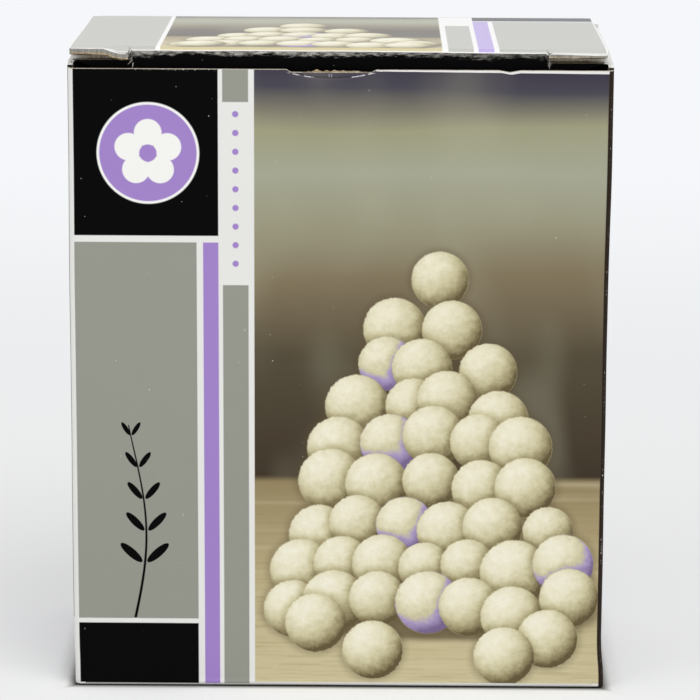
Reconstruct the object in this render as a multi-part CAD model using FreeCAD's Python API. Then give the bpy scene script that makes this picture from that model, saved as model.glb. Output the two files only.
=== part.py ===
"""Tuck-top folding carton in micro-flute board, standing closed on its base.

Two pieces, in millimetres: the folded body with its snap-lock bottom and dust flaps, and the lid
with its tuck flap. The origin is on the floor at the middle of the base, +Z is up, and the front
panel faces -Y. Every panel is one board thick, and every fold has the board's own bend.
"""

import FreeCAD
import Part

import os
from math import atan, cos, degrees, radians, sin, sqrt, tan

Vector = FreeCAD.Vector
UP = Vector(0, 0, 1)
DOWN = Vector(0, 0, -1)
RIGHT = Vector(1, 0, 0)
LEFT = Vector(-1, 0, 0)
BACK = Vector(0, 1, 0)
FORWARD = Vector(0, -1, 0)

# Carton, outside sizes
carton_width = 155.0
carton_depth = 78.0
front_height = 182.5
board = 1.5
fold_inside = 0.6

# Body, top end
front_step = 4.0  # the dust flaps lie this much above the front panel's edge
dust_length = 54.0
dust_lock = 19.0  # straight stretch of the dust flap's front edge, which the slit grips
dust_taper_front = 8.0
dust_taper_rear = 15.0
dust_rear_gap = 1.5
dust_corner = 5.0
thumb_middle = -2.6
thumb_width = 25.5
thumb_depth = 0.85
thumb_slope = 1.3
thumb_crease_drop = 2.6  # half-moon crease below the dip, at its deepest
thumb_crease_line = 0.35
thumb_crease_depth = 0.25

# Body, seam inside the left panel
seam_width = 16.0
seam_taper = 7.0
seam_gap = 0.3

# Body, snap-lock bottom: front flap outside, side flaps above it, rear flap above them
crease_relief = 1.0
flap_gap = 1.2
climb = 20.0  # angle at which a flap climbs over the flap below it, degrees
front_flap_depth = 44.0
front_flap_chamfer = 9.0
tongue_width = 62.0
tongue_lap = 11.0
side_flap_length = 43.0
side_flap_front_inset = 6.0
side_flap_waist = 8.0
rear_flap_depth = 47.0
rear_flap_taper = 5.0
flap_corner = 4.0

# Lid and tuck flap
lid_gap = 0.3  # running gap under the lid and under its rear edge
lid_side_inset = 1.5
lid_front_inset = 0.2
lid_corner = 1.2
slit_length = 17.0
tuck_length = 18.0
tuck_gap = 0.35
tuck_side_gap = 1.0
tuck_corner = 11.0

# Worked out from the sizes above
fold_outside = fold_inside + board
half_width = carton_width / 2
half_depth = carton_depth / 2
dust_top = front_height + front_step
side_crease = dust_top - fold_outside
lid_under = dust_top + lid_gap
lid_top = lid_under + board
hinge_y = half_depth - board / 2
hinge_z = lid_under + board / 2
lid_half = half_width - lid_side_inset
tuck_face = -half_depth + board + tuck_gap
tuck_tip = lid_top - tuck_length
slit_bottom = lid_under - board - 2 * lid_gap
margin = 5.0  # how far a cutting block reaches past what it cuts


def folded_profile(start, heading, inward, steps):
    """Section of a folded board, walked along its outer face.

    A step is a straight run in mm or a bend in degrees, and a bend above zero turns inward.
    """
    outer, inner = [], []
    point = start
    for kind, amount in steps:
        if kind == "run":
            end = point + heading * amount
            outer.append(Part.LineSegment(point, end).toShape())
            inner.append(Part.LineSegment(point + inward * board, end + inward * board).toShape())
            point = end
            continue
        side = 1 if amount > 0 else -1
        outer_radius = fold_outside if amount > 0 else fold_inside
        inner_radius = fold_inside if amount > 0 else fold_outside
        centre = point + inward * side * outer_radius
        turned = [turn(inward, heading, share * amount) for share in (0, 0.5, 1)]
        outer.append(arc(centre, turned, side * outer_radius))
        inner.append(arc(centre, turned, side * inner_radius))
        point = centre - turned[2] * side * outer_radius
        heading, inward = turn(heading, inward * -1, amount), turned[2]
    caps = [
        Part.LineSegment(start, inner[0].Vertexes[0].Point).toShape(),
        Part.LineSegment(point, point + inward * board).toShape(),
    ]
    return Part.Face(Part.Wire(Part.__sortEdges__(outer + inner + caps)))


def turn(vector, against, angle):
    """The vector swung by an angle in degrees, away from a vector square to it."""
    return vector * cos(radians(angle)) - against * sin(radians(angle))


def arc(centre, directions, radius):
    """Arc through three points, each opposite a direction from the centre."""
    return Part.Arc(*[centre - direction * radius for direction in directions]).toShape()


def block(low, high):
    """Box between two corners."""
    size = high - low
    return Part.makeBox(size.x, size.y, size.z, low)


def prism(points, direction, length, corners=(), radius=0.0):
    """Outline swept along a direction, with rounded edges over the listed corners."""
    outline = Part.Wire(Part.makePolygon(points + points[:1]))
    solid = Part.Face(outline).extrude(direction * length)
    if not corners:
        return solid
    rounded = [
        edge
        for edge in solid.Edges
        if edge.Length > 0
        and (edge.Vertexes[0].Point - edge.Vertexes[-1].Point).cross(direction).Length < 1e-6
        and any(edge.distToShape(Part.Vertex(points[index]))[0] < 1e-6 for index in corners)
    ]
    return solid.makeFillet(radius, rounded)


def plan(points, low, high, corners=(), radius=0.0):
    """Upright prism over an outline given by x and y."""
    return prism([Vector(x, y, low) for x, y in points], UP, high - low, corners, radius)


def mirrored(shape):
    """The same shape on the carton's other side."""
    return shape.mirror(Vector(0, 0, 0), RIGHT)


def climb_steps(rise, first_bend=0.0):
    """Steps that lift a flap's outer face, after an optional fold at its root."""
    lift = (fold_outside + fold_inside) * (1 - cos(radians(climb)))
    run = (rise - lift) / sin(radians(climb))
    return [("bend", first_bend + climb), ("run", run), ("bend", -climb)]


def climb_length(rise):
    """Level distance that a climb of that rise covers."""
    run = climb_steps(rise)[1][1]
    return (fold_outside + fold_inside) * sin(radians(climb)) + run * cos(radians(climb))


def walls():
    """Four panels from one strip, from the rear fold by the seam round to the seam's raw edge."""
    side_run = carton_depth - 2 * fold_outside
    steps = [
        ("bend", 90),
        ("run", carton_width - board - 2 * fold_outside),
        ("bend", 90),
        ("run", side_run),
        ("bend", 90),
        ("run", carton_width - 2 * fold_outside),
        ("bend", 90),
        ("run", side_run - seam_gap),
    ]
    start = Vector(-half_width + board, half_depth - fold_outside, fold_outside)
    panels = folded_profile(start, BACK, RIGHT, steps).extrude(UP * (dust_top - fold_outside))
    above_front = block(
        Vector(-half_width - margin, -half_depth - margin, front_height),
        Vector(half_width + margin, -half_depth + fold_outside, dust_top + margin),
    )
    above_sides = block(
        Vector(-half_width - margin, -half_depth + fold_outside, side_crease),
        Vector(half_width + margin, half_depth - fold_outside, dust_top + margin),
    )
    return panels.cut([above_front, above_sides, thumb_dip(), thumb_crease()])


def thumb_dip():
    """Shallow dip in the front panel's edge, where the lid is pushed open."""
    half = thumb_width / 2
    low = front_height - thumb_depth
    shape = [
        (thumb_middle - half, front_height),
        (thumb_middle - half + thumb_slope, low),
        (thumb_middle + half - thumb_slope, low),
        (thumb_middle + half, front_height),
        (thumb_middle + half, front_height + margin),
        (thumb_middle - half, front_height + margin),
    ]
    points = [Vector(x, -half_depth - margin, z) for x, z in shape]
    return prism(points, BACK, margin + fold_outside)


def thumb_crease():
    """Half-moon crease pressed into the front panel below the dip."""
    half = thumb_width / 2
    rise = thumb_crease_drop - thumb_depth
    radius = (half**2 + rise**2) / (2 * rise)
    front = -half_depth - margin
    centre = Vector(thumb_middle, front, front_height - thumb_crease_drop + radius)
    depth = margin + thumb_crease_depth
    ring = Part.makeCylinder(radius, depth, centre, BACK).cut(
        Part.makeCylinder(radius - thumb_crease_line, depth, centre, BACK)
    )
    zone = block(
        Vector(thumb_middle - half, front, front_height - thumb_crease_drop - margin),
        Vector(thumb_middle + half, front + depth, front_height - thumb_depth - thumb_crease_line),
    )
    return ring.common(zone)


def seam_flap():
    """Glued seam: a tapered flap from the back panel, flat against the left panel's inside."""
    root = half_depth - fold_outside
    free = root - seam_width
    shape = [
        (root, fold_outside),
        (root, side_crease),
        (free, side_crease - seam_taper),
        (free, fold_outside + seam_taper),
    ]
    points = [Vector(-half_width + board, y, z) for y, z in shape]
    return prism(points, RIGHT, board)


def dust_flap():
    """Right dust flap: a fold at the side panel's top, then a tapered flap under the lid."""
    steps = [("bend", 90), ("run", dust_length - fold_outside)]
    start = Vector(half_width, -half_depth, side_crease)
    strip = folded_profile(start, UP, LEFT, steps).extrude(BACK * carton_depth)
    front = dust_front_edge()
    rear = half_depth - board - dust_rear_gap
    tip = half_width - dust_length
    outline = [
        (half_width + margin, front),
        (half_width - dust_lock, front),
        (tip, front + dust_taper_front),
        (tip, rear - dust_taper_rear),
        (half_width - dust_taper_rear, rear),
        (half_width + margin, rear),
    ]
    shape = plan(outline, side_crease - margin, dust_top + margin, (2, 3), dust_corner)
    return strip.common(shape)


def bottom_front_flap():
    """Outermost bottom flap: its tongue climbs through the rear flap's notch and laps it."""
    steps = [("bend", 90), ("run", front_flap_depth - fold_outside)]
    steps += climb_steps(3 * board)
    steps += [("run", flap_gap + tongue_lap)]
    start = Vector(-half_width, -half_depth, fold_outside)
    strip = folded_profile(start, DOWN, BACK, steps).extrude(RIGHT * carton_width)
    root = half_width - fold_outside - crease_relief
    waist = root - front_flap_chamfer
    shoulder = -half_depth + front_flap_depth
    tip = shoulder + climb_length(3 * board) + flap_gap + tongue_lap
    half = tongue_width / 2
    right = [
        (root, -half_depth - margin),
        (root, -half_depth + fold_outside),
        (waist, -half_depth + fold_outside + front_flap_chamfer),
        (waist, shoulder),
        (half, shoulder),
        (half, tip + margin),
    ]
    ends = plan(both_sides(right), -margin, 6 * board, (3, 8), flap_corner)
    return strip.common(ends)


def bottom_side_flap():
    """Right bottom flap, between the front flap and the rear flap."""
    steps = climb_steps(board, 90.0)
    reached = fold_outside + climb_length(board)
    steps += [("run", side_flap_length - reached)]
    start = Vector(half_width, -half_depth, fold_outside)
    strip = folded_profile(start, DOWN, LEFT, steps).extrude(BACK * carton_depth)
    root_front = -half_depth + fold_outside + crease_relief
    root_rear = half_depth - fold_outside - crease_relief
    tip = half_width - side_flap_length
    outline = [
        (half_width + margin, root_front),
        (half_width - reached, root_front),
        (tip, root_front + side_flap_front_inset),
        (tip, 0),
        (half_width - reached - side_flap_waist, root_rear - side_flap_waist),
        (half_width - fold_outside, root_rear),
        (half_width + margin, root_rear),
    ]
    shape = plan(outline, -margin, 4 * board, (2, 3), flap_corner)
    return strip.common(shape)


def bottom_rear_flap():
    """Innermost bottom flap, with a notch that the front flap's tongue passes through."""
    steps = climb_steps(2 * board, 90.0)
    reached = fold_outside + climb_length(2 * board)
    steps += [("run", rear_flap_depth - reached)]
    start = Vector(-half_width, half_depth, fold_outside)
    strip = folded_profile(start, DOWN, FORWARD, steps).extrude(RIGHT * carton_width)
    root = half_width - fold_outside - crease_relief
    front = half_depth - rear_flap_depth
    notch_edge = -half_depth + front_flap_depth + climb_length(3 * board) + flap_gap
    half_notch = tongue_width / 2 + flap_gap
    right = [
        (root, half_depth + margin),
        (root, half_depth - fold_outside),
        (root - rear_flap_taper, half_depth - reached),
        (root - rear_flap_taper, front),
        (half_notch, front),
        (half_notch, notch_edge),
    ]
    shape = plan(both_sides(right), -margin, 5 * board, (3, 4, 7, 8), flap_corner)
    return strip.common(shape)


def both_sides(right):
    """A closed outline from its right half."""
    return right + [(-x, y) for x, y in reversed(right)]


def tuck_drops():
    """Depths below the hinge of the tuck flap's tip and of the front panel's edge."""
    return hinge_z - tuck_tip, hinge_z - front_height


def tuck_tilt():
    """How far the tuck flap leans inward, so that its tip clears the front panel as it swings."""
    tip_drop, edge_drop = tuck_drops()
    level_reach = hinge_y - tuck_face
    tip_reach = sqrt(level_reach**2 - tip_drop**2 + edge_drop**2)
    straight = tip_drop - (hinge_z - (lid_top - fold_outside))
    return degrees(atan((level_reach - tip_reach) / straight)) + 0.4


def dust_front_edge():
    """Front edge of the dust flaps, just behind the tuck flap's path."""
    inner_reach = hinge_y - tuck_face - board
    swing = inner_reach * tan(radians(tuck_tilt())) ** 2 / 2
    return tuck_face + board + swing + tuck_gap


def carton_body():
    """Walls, seam, dust flaps and bottom flaps, all one folded sheet."""
    dust = dust_flap()
    side = bottom_side_flap()
    pieces = [seam_flap(), dust, mirrored(dust), side, mirrored(side)]
    pieces += [bottom_front_flap(), bottom_rear_flap()]
    return walls().multiFuse(pieces).removeSplitter()


def lid_flap():
    """Lid panel, its front fold between two slits, and the tuck flap below it."""
    tilt = tuck_tilt()
    fold_start = tuck_face + fold_outside
    panel_run = hinge_y - fold_start
    slant_drop = lid_top - fold_outside * (1 + sin(radians(tilt))) - tuck_tip
    steps = [("run", panel_run), ("bend", 90 + tilt), ("run", slant_drop / cos(radians(tilt)))]
    start = Vector(-lid_half, hinge_y, lid_top)
    strip = folded_profile(start, FORWARD, DOWN, steps).extrude(RIGHT * 2 * lid_half)
    bead = Part.makeCylinder(board / 2, 2 * lid_half, Vector(-lid_half, hinge_y, hinge_z), RIGHT)
    slit = block(
        Vector(lid_half - slit_length, -half_depth - margin, slit_bottom),
        Vector(lid_half + margin, fold_start, lid_top + margin),
    )
    tuck_half = half_width - board - tuck_side_gap
    outside_tuck = block(
        Vector(tuck_half, -half_depth - margin, tuck_tip - margin),
        Vector(lid_half + margin, half_depth / 2, slit_bottom),
    )
    cuts = [slit, mirrored(slit), outside_tuck, mirrored(outside_tuck)]
    folded = round_tuck_corners(strip.cut(cuts), tuck_half)
    shoulder = plan(
        [
            (lid_half, fold_start + board),
            (lid_half, -half_depth + lid_front_inset),
            (lid_half - slit_length, -half_depth + lid_front_inset),
            (lid_half - slit_length, fold_start + board),
        ],
        lid_under,
        lid_top,
        (1,),
        lid_corner,
    )
    return folded.multiFuse([bead, shoulder, mirrored(shoulder)]).removeSplitter()


def round_tuck_corners(shape, tuck_half):
    """Rounds the two lower corners of the tuck flap, seen from the front."""
    low = tuck_tip - margin
    corner = [
        (tuck_half - tuck_corner, low),
        (tuck_half + margin, low),
        (tuck_half + margin, tuck_tip + tuck_corner),
        (tuck_half - tuck_corner, tuck_tip + tuck_corner),
    ]
    front = -half_depth - margin
    waste = prism([Vector(x, front, z) for x, z in corner], BACK, half_depth)
    centre = Vector(tuck_half - tuck_corner, front, tuck_tip + tuck_corner)
    waste = waste.cut(Part.makeCylinder(tuck_corner, half_depth, centre, BACK))
    return shape.cut([waste, mirrored(waste)])


def main():
    """Builds both pieces and writes one file for each."""
    os.makedirs("parts", exist_ok=True)
    for name, shape in (("carton_body", carton_body()), ("lid_flap", lid_flap())):
        solids = shape.Solids
        if len(solids) != 1 or not solids[0].isValid():
            raise SystemExit(f"{name} isn't one valid solid")
        solids[0].exportStep(f"parts/{name}.step")


main()
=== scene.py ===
"""Look of the closed tuck-top carton: printed and folded micro-flute board with handling wear.

The body and the lid are each one folded sheet with its real board thickness, so print, raw edges
and folds follow the same flat coordinates. Lengths are in millimetres until a mesh is written.
"""

from math import atan, ceil, cos, degrees, floor, hypot, pi, radians, sin, sqrt, tan

import bmesh
import bpy
from mathutils import Matrix, Vector, noise
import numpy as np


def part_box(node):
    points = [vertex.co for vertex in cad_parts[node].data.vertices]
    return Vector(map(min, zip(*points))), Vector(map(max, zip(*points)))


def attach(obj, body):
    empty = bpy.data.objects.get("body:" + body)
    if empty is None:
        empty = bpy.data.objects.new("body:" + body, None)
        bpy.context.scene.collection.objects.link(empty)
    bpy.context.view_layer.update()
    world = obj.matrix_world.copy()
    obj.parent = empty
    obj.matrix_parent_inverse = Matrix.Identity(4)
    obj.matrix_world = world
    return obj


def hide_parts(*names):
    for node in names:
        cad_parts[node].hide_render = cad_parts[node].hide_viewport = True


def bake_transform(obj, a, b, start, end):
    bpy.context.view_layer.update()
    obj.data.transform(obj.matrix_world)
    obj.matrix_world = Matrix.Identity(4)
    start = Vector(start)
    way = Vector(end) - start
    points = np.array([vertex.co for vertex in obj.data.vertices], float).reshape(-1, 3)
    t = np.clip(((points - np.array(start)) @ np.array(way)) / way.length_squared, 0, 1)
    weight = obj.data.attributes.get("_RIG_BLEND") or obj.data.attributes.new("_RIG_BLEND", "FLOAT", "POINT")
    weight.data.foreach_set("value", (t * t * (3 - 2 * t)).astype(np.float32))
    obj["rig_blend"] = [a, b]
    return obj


MM = 0.001

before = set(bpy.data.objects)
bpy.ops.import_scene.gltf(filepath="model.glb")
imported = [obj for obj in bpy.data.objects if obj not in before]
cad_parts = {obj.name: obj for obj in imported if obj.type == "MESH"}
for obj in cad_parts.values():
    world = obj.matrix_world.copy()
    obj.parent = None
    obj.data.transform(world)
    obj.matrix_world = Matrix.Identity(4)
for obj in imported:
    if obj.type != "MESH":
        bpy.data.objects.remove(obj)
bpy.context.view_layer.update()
body_low, body_high = [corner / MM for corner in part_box("carton_body")]
lid_low, lid_high = [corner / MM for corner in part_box("lid_flap")]

# Sizes of the solids, from the frame
half_width = body_high.x
half_depth = body_high.y
dust_top = body_high.z
lid_top = lid_high.z
lid_half = lid_high.x
lid_front = lid_low.y
tuck_tip = lid_low.z
board = 1.5
fold_inside = 0.6
fold_outside = fold_inside + board
front_step = 4.0
front_height = dust_top - front_step
side_crease = dust_top - fold_outside
lid_under = lid_top - board
lid_gap = lid_under - dust_top
hinge_y = half_depth - board / 2
hinge_z = lid_under + board / 2

# Dust flaps
dust_length = 54.0
dust_lock = 19.0
dust_taper_front = 8.0
dust_taper_rear = 15.0
dust_rear_gap = 1.5
dust_corner = 5.0

# Thumb dip in the front edge and the half-moon crease below it
thumb_middle = -2.6
thumb_width = 25.5
thumb_depth = 0.85
thumb_slope = 1.3
thumb_crease_drop = 2.6
thumb_crease_line = 0.35
thumb_crease_depth = 0.25

# Settling at the base and handling wear
corner_low = 0.5
base_lift = 0.05
base_bulge = 0.35
base_fullness = 0.45
lid_shift = -0.62
lid_spread = 0.36

# Seam flap and bottom flaps
seam_width = 16.0
seam_taper = 7.0
seam_gap = 0.3
crease_relief = 1.0
flap_gap = 1.2
climb = 20.0
front_flap_depth = 44.0
front_flap_chamfer = 9.0
tongue_width = 62.0
tongue_lap = 11.0
side_flap_length = 43.0
side_flap_front_inset = 6.0
side_flap_waist = 8.0
rear_flap_depth = 47.0
rear_flap_taper = 5.0
flap_corner = 4.0

# Lid
slit_length = 17.0
lid_corner = 1.2
tuck_gap = 0.35
tuck_side_gap = 1.0
tuck_corner = 11.0
slit_inner = lid_half - slit_length
slit_bottom = lid_under - board - 2 * lid_gap
tuck_face = -half_depth + board + tuck_gap
tuck_half = half_width - board - tuck_side_gap
crease_half = half_width - fold_outside - 2.0
crease_lap = 1.05  # stretch of the lid and of the back panel that the rear crease takes up

# Fineness of the meshes
cell = 3.0
right_chip = 47.4  # where the front edge has lost a small flake
bend_step = 11.25
fine_cuts = 8
edge_rows = (0.0, 0.14, 0.32, 0.5, 0.68, 0.86, 1.0)
X = Vector((1, 0, 0))
Y = Vector((0, 1, 0))
Z = Vector((0, 0, 1))
OUTER, INNER, RAW, TUCK = range(4)
PICTURED = 3  # on the body, the part of the print with the picture


class FoldPath:
    """Section of a folded board along its outer face: runs in mm and bends in degrees."""

    def __init__(self, start, heading, inward, steps):
        self.stretches = []
        point, travelled = start, 0.0
        for kind, amount in steps:
            if kind == "run":
                self.stretches.append((travelled, amount, point, heading, inward, 0, 0.0))
                point = point + heading * amount
                travelled += amount
                continue
            side = 1 if amount > 0 else -1
            radius = fold_outside if amount > 0 else fold_inside
            length = radius * radians(abs(amount))
            self.stretches.append((travelled, length, point, heading, inward, side, radius))
            centre = point + inward * side * radius
            turned = inward * cos(radians(amount)) - heading * sin(radians(amount))
            heading = heading * cos(radians(amount)) + inward * sin(radians(amount))
            inward = turned
            point = centre - turned * side * radius
            travelled += length
        self.length = travelled

    def place(self, along, depth):
        """Point at a distance along the outer face, at a depth into the board, and inward there."""
        for begin, length, point, heading, inward, side, radius in self.stretches:
            if along <= begin + length + 1e-6:
                break
        gone = along - begin
        if not side:
            return point + heading * gone + inward * depth, inward
        angle = side * gone / radius
        turned = inward * cos(angle) - heading * sin(angle)
        centre = point + inward * side * radius
        return centre - turned * side * radius + turned * depth, turned

    def cuts(self):
        """Distances along the path where the mesh is divided."""
        found = []
        for begin, length, point, heading, inward, side, radius in self.stretches:
            found.append(begin)
            if side:
                count = max(1, ceil(degrees(length / radius) / bend_step))
                found += [begin + length * step / count for step in range(1, count)]
            else:
                offset = point.dot(heading)
                first, last = ceil(offset / cell + 0.05), floor((offset + length) / cell - 0.05)
                found += [begin + step * cell - offset for step in range(first, last + 1)]
        return found

    def reach(self, direction, distance):
        """How far along the path a level distance from its start is met."""
        low, high = 0.0, self.length
        start = self.place(0.0, 0.0)[0]
        for _ in range(40):
            middle = (low + high) / 2
            if (self.place(middle, 0.0)[0] - start).dot(direction) < distance:
                low = middle
            else:
                high = middle
        return high


def rounded(points, corners, radius, pieces=6):
    """The outline with the listed corners turned into arcs."""
    result = []
    count = len(points)
    for index, corner in enumerate(points):
        if index not in corners:
            result.append(corner)
            continue
        here = Vector(corner)
        before = (Vector(points[index - 1]) - here).normalized()
        after = (Vector(points[(index + 1) % count]) - here).normalized()
        half = before.angle(after) / 2
        centre = here + (before + after).normalized() * radius / sin(half)
        first = here + before * radius / tan(half) - centre
        last = here + after * radius / tan(half) - centre
        for step in range(pieces + 1):
            spoke = first.slerp(last, step / pieces)
            result.append(tuple(centre + spoke))
    return result


def flat_grid(outline, along_cuts, across_cuts):
    """Flat outline divided by straight cuts both ways."""
    flat = bmesh.new()
    flat.faces.new([flat.verts.new((u, v, 0)) for u, v in outline])
    for cuts, normal in ((along_cuts, X), (across_cuts, Y)):
        for cut in cuts:
            geometry = flat.verts[:] + flat.edges[:] + flat.faces[:]
            bmesh.ops.bisect_plane(flat, geom=geometry, plane_co=normal * cut, plane_no=normal)
    bmesh.ops.dissolve_degenerate(flat, dist=1e-4, edges=flat.edges[:])
    return flat


def add_sheet(target, path, across, outline, joined, printed, worn=None, fine=None, skin=OUTER):
    """Adds one folded stretch of board: both faces and its raw edges.

    joined(u, v) says where an edge carries on into other board, and printed(u, v) gives the place
    in the printed sheet. worn(point, inward, depth) gives a small shift, and fine(u, v) says where
    the mesh is finer.
    """
    low = min(v for _, v in outline)
    high = max(v for _, v in outline)
    across_cuts = [step * cell for step in range(ceil(low / cell), floor(high / cell) + 1)]
    flat = flat_grid(outline, path.cuts(), across_cuts)
    if fine:
        close = [edge for edge in flat.edges if all(fine(*spot.co.xy) for spot in edge.verts)]
        bmesh.ops.subdivide_edges(flat, edges=close, cuts=fine_cuts, use_grid_fill=True)
    sheet_layer = target.verts.layers.float_vector["sheet"]
    depth_layer = target.verts.layers.float["depth"]
    made = {}

    def vertex(spot, depth):
        key = (spot.index, depth)
        if key not in made:
            u, v = spot.co.x, spot.co.y
            point, inward = path.place(u, depth * board)
            point = point + across * v
            if worn:
                point = point + worn(point, inward, depth)
            created = target.verts.new(point * MM)
            place = printed(u, v)
            created[sheet_layer] = (place[0], place[1], 0)
            created[depth_layer] = depth
            made[key] = created
        return made[key]

    flat.verts.index_update()
    for face in flat.faces:
        corners = face.verts[:]
        target.faces.new([vertex(spot, 0.0) for spot in corners]).material_index = skin
        back = target.faces.new([vertex(spot, 1.0) for spot in reversed(corners)])
        back.material_index = INNER
    for edge in flat.edges:
        middle = (edge.verts[0].co + edge.verts[1].co) / 2
        if len(edge.link_faces) != 1 or joined(middle.x, middle.y):
            continue
        first, second = edge.verts
        for shallow, deep in zip(edge_rows, edge_rows[1:]):
            corners = [
                vertex(first, shallow),
                vertex(second, shallow),
                vertex(second, deep),
                vertex(first, deep),
            ]
            target.faces.new(corners).material_index = RAW
    flat.free()


def new_sheet():
    """Empty mesh with the layers that the materials read."""
    made = bmesh.new()
    made.verts.layers.float_vector.new("sheet")
    made.verts.layers.float.new("depth")
    return made


def finished_object(name, made, materials, sharp=35.0):
    """Welds a mesh and turns it into an object with its materials."""
    bmesh.ops.remove_doubles(made, verts=made.verts[:], dist=0.002 * MM)
    bmesh.ops.recalc_face_normals(made, faces=made.faces[:])
    for face in made.faces:
        face.smooth = True
    mesh = bpy.data.meshes.new(name)
    made.to_mesh(mesh)
    made.free()
    mesh.set_sharp_from_angle(angle=radians(sharp))
    for material in materials:
        mesh.materials.append(material)
    piece = bpy.data.objects.new(name, mesh)
    bpy.context.scene.collection.objects.link(piece)
    return piece


# Walls, walked from the rear fold by the seam to the raw edge of the left panel
side_run = 2 * (half_depth - fold_outside)
back_run = 2 * half_width - board - 2 * fold_outside
front_run = 2 * (half_width - fold_outside)
fold_length = fold_outside * pi / 2
wall_steps = [
    ("bend", 90),
    ("run", back_run),
    ("bend", 90),
    ("run", side_run),
    ("bend", 90),
    ("run", front_run),
    ("bend", 90),
    ("run", side_run - seam_gap),
]
wall_path = FoldPath(Vector((-half_width + board, half_depth - fold_outside, 0)), Y, X, wall_steps)
right_start = 2 * fold_length + back_run
front_start = right_start + side_run + fold_length
front_middle = front_start + front_run / 2
left_start = front_start + front_run + fold_length
fold_end = front_run / 2 + fold_length
back_centre = front_run / 2 + side_run + 2 * fold_length + back_run / 2
back_start = back_centre - back_run / 2 - fold_length
picture_start = -27.0


def wall_outline():
    """Outline of the four panels: distance along the wall and height."""
    right_middle = right_start + side_run / 2
    front_edge = dust_front_edge()
    rear_edge = half_depth - board - dust_rear_gap
    dip_low = front_height - thumb_depth
    flap_root = half_width - fold_outside - crease_relief
    side_root = half_depth - fold_outside - crease_relief
    left_middle = left_start + side_run / 2
    back_middle = fold_length + back_run / 2 - board / 2
    top = [
        (0, dust_top),
        (back_middle - crease_half, dust_top),
        (back_middle + crease_half, dust_top),
        (right_start, dust_top),
        (right_start, side_crease),
        (right_middle - rear_edge, side_crease),
        (right_middle - front_edge, side_crease),
        (right_start + side_run, side_crease),
        (right_start + side_run, front_height),
    ]
    half = thumb_width / 2
    for x, z in (
        (thumb_middle + half, front_height),
        (thumb_middle + half - thumb_slope, dip_low),
        (thumb_middle - half + thumb_slope, dip_low),
        (thumb_middle - half, front_height),
    ):
        top.append((front_middle - x, z))
    top += [
        (left_start, front_height),
        (left_start, side_crease),
        (left_middle + front_edge, side_crease),
        (left_middle + rear_edge, side_crease),
        (wall_path.length, side_crease),
    ]
    bottom = []
    for middle, root in (
        (left_middle, side_root),
        (front_middle, flap_root),
        (right_middle, side_root),
        (back_middle, flap_root),
    ):
        bottom += [(middle + root, corner_low), (middle + root, fold_outside)]
        bottom += [(middle - root, fold_outside), (middle - root, corner_low)]
    bottom = bottom[1:-1]
    outline = top + [(wall_path.length, fold_outside)] + bottom + [(0, fold_outside)]
    return outline


def tuck_tilt():
    """How far the tuck flap leans inward, as in the solid."""
    tip_drop, edge_drop = hinge_z - tuck_tip, hinge_z - front_height
    level_reach = hinge_y - tuck_face
    tip_reach = sqrt(level_reach**2 - tip_drop**2 + edge_drop**2)
    straight = tip_drop - (hinge_z - (lid_top - fold_outside))
    return degrees(atan((level_reach - tip_reach) / straight)) + 0.4


def dust_front_edge():
    """Front edge of the dust flaps, just behind the tuck flap's path."""
    inner_reach = hinge_y - tuck_face - board
    swing = inner_reach * tan(radians(tuck_tilt())) ** 2 / 2
    return tuck_face + board + swing + tuck_gap


def wall_joined(u, v):
    """Where the walls' ends carry on into flaps, the seam or the lid's crease."""
    front_edge = dust_front_edge()
    rear_edge = half_depth - board - dust_rear_gap
    if abs(u) < 0.01:
        return True
    if abs(v - side_crease) < 0.01:
        for middle, sense in ((right_start, 1), (left_start, -1)):
            y = sense * (middle + side_run / 2 - u)
            if front_edge < y < rear_edge:
                return True
    back_middle = fold_length + back_run / 2 - board / 2
    if abs(v - dust_top) < 0.01:
        return abs(u - back_middle) < crease_half
    if abs(v - fold_outside) < 0.01:
        flap_root = half_width - fold_outside - crease_relief
        side_root = half_depth - fold_outside - crease_relief
        left_middle = left_start + side_run / 2
        right_middle = right_start + side_run / 2
        return (
            min(abs(u - left_middle), abs(u - right_middle)) < side_root
            or min(abs(u - front_middle), abs(u - back_middle)) < flap_root
        )
    return False


def wall_print(u, v):
    """Place in the printed sheet, with the front panel's middle at zero."""
    return front_middle - u, v


def body_sheet():
    """Walls, seam flap, dust flaps and bottom flaps."""
    made = new_sheet()
    def near_thumb(u, v):
        across = abs(front_middle - u - thumb_middle)
        return across < thumb_width / 2 + 3 and v > front_height - thumb_crease_drop - 3

    add_sheet(made, wall_path, Z, wall_outline(), wall_joined, wall_print, body_wear, near_thumb)
    add_lifted_layer(made)
    add_seam_flap(made)
    for side in (1, -1):
        add_dust_flap(made, side)
        add_bottom_side_flap(made, side)
    add_bottom_front_flap(made)
    add_bottom_rear_flap(made)
    sheet_layer = made.verts.layers.float_vector["sheet"]
    for face in made.faces:
        middle = sum((spot[sheet_layer].x for spot in face.verts), 0.0) / len(face.verts)
        local = middle - back_centre if middle > back_start else middle
        if face.material_index == OUTER and picture_start < local < fold_end:
            face.material_index = PICTURED
    return made


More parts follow.
